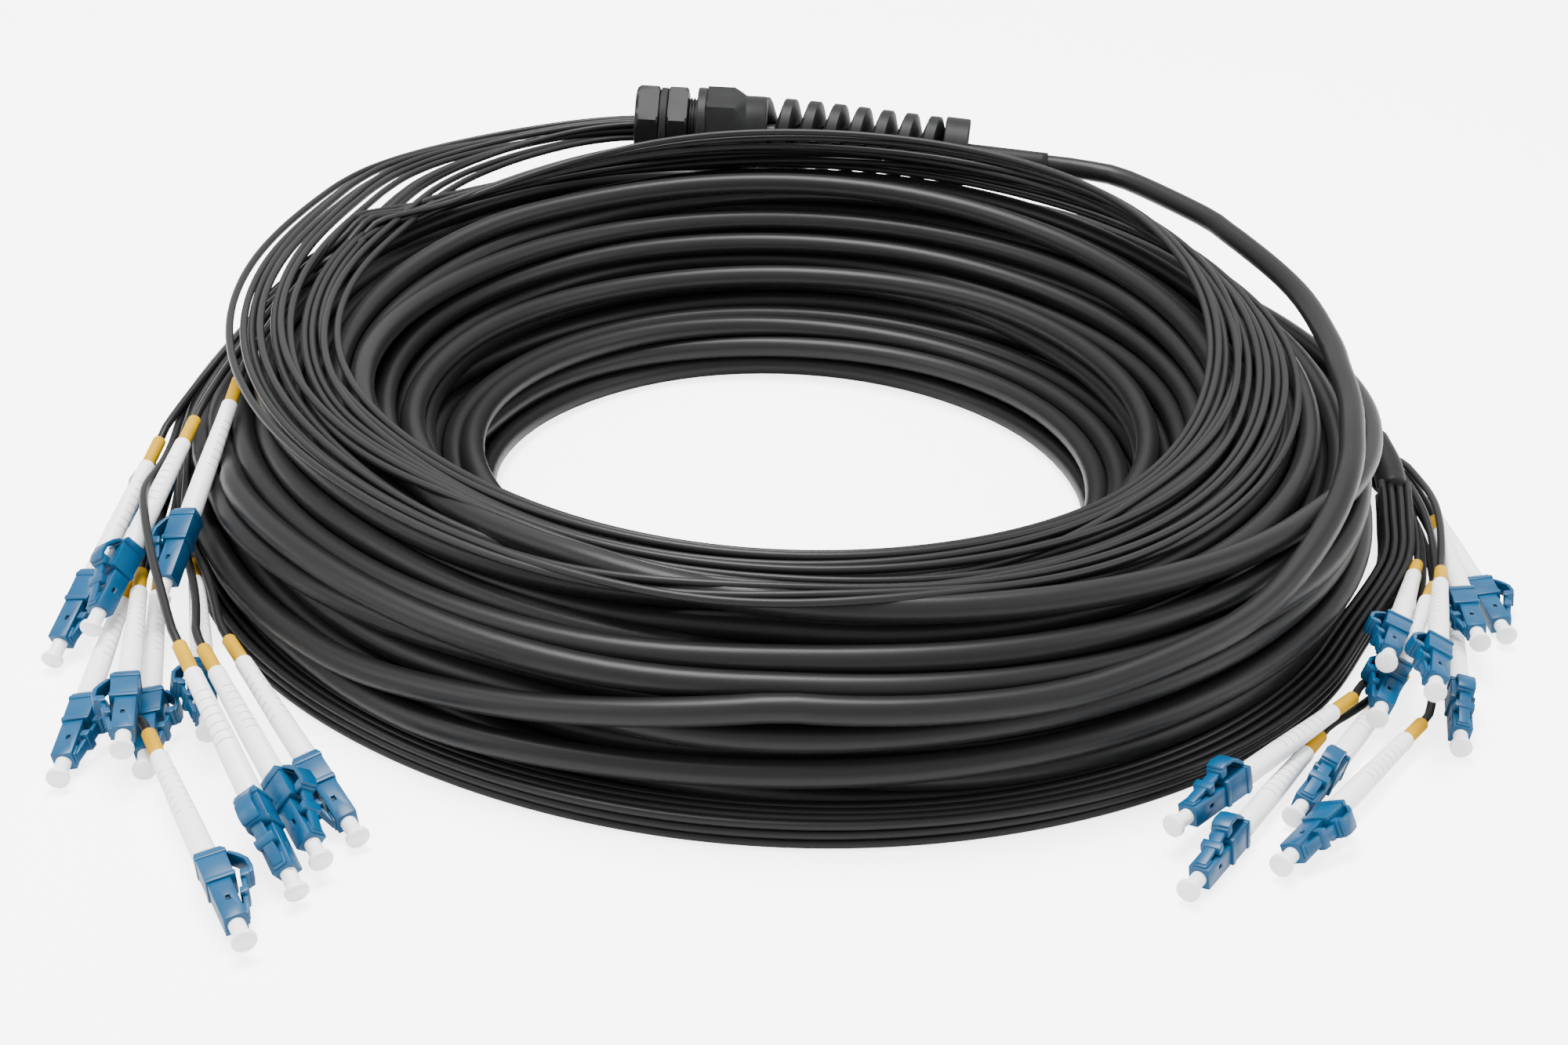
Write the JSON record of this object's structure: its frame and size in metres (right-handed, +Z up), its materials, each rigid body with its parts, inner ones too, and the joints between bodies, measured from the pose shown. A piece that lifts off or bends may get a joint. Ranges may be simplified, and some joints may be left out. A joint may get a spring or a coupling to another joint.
{
  "type": "fibre breakout cable coiled for storage, with a cable gland and latched fibre connectors",
  "caption": "Black fibre breakout cable in a coil, with a screw cable gland with a spiral bend protector and thin legs that end in blue latched fibre connectors with white boots and caps.",
  "frame": {"origin": "middle of the coil, on the surface that it lies on", "axes": "+X to the right as the picture shows it, +Y away from the viewer towards the gland, +Z up"},
  "size_m": [0.3486, 0.38, 0.0698],
  "materials": {
    "trunk_jacket": "satin black cable jacket",
    "leg_jacket": "satin black cable jacket",
    "heat_shrink": "dull black shrunk tube",
    "gland_nylon": "fine-grained dark grey nylon",
    "washer_rubber": "matt black rubber",
    "connector_plastic": "blue moulded housing, white boot and cap"
  },
  "bodies": {
    "root": {"trunk_coil": "trunk_jacket", "trunk_tail_a": "trunk_jacket", "trunk_tail_b": "trunk_jacket", "heat_shrink_a": "heat_shrink", "breakout_sleeve_b": "heat_shrink", "gland_body": "gland_nylon", "sealing_washer": "washer_rubber", "lock_nut": "gland_nylon", "dome_nut_bend_protector": "gland_nylon", "leg_bundle_a": "leg_jacket", "leg_bundle_b": "leg_jacket", "leg_a01": "leg_jacket", "leg_a02": "leg_jacket", "leg_a03": "leg_jacket", "leg_a04": "leg_jacket", "leg_a05": "leg_jacket", "leg_a06": "leg_jacket", "leg_a07": "leg_jacket", "leg_a08": "leg_jacket", "leg_a09": "leg_jacket", "leg_a10": "leg_jacket", "leg_a11": "leg_jacket", "leg_a12": "leg_jacket", "leg_b01": "leg_jacket", "leg_b02": "leg_jacket", "leg_b03": "leg_jacket", "leg_b04": "leg_jacket", "leg_b05": "leg_jacket", "leg_b06": "leg_jacket", "leg_b07": "leg_jacket", "leg_b08": "leg_jacket", "leg_b09": "leg_jacket", "leg_b10": "leg_jacket", "leg_b11": "leg_jacket", "leg_b12": "leg_jacket", "connector_a01": "connector_plastic", "connector_a02": "connector_plastic", "connector_a03": "connector_plastic", "connector_a04": "connector_plastic", "connector_a05": "connector_plastic", "connector_a06": "connector_plastic", "connector_a07": "connector_plastic", "connector_a08": "connector_plastic", "connector_a09": "connector_plastic", "connector_a10": "connector_plastic", "connector_a11": "connector_plastic", "connector_a12": "connector_plastic", "connector_b01": "connector_plastic", "connector_b02": "connector_plastic", "connector_b03": "connector_plastic", "connector_b04": "connector_plastic", "connector_b05": "connector_plastic", "connector_b06": "connector_plastic", "connector_b07": "connector_plastic", "connector_b08": "connector_plastic", "connector_b09": "connector_plastic", "connector_b10": "connector_plastic", "connector_b11": "connector_plastic", "connector_b12": "connector_plastic"}
  },
  "joints": []
}
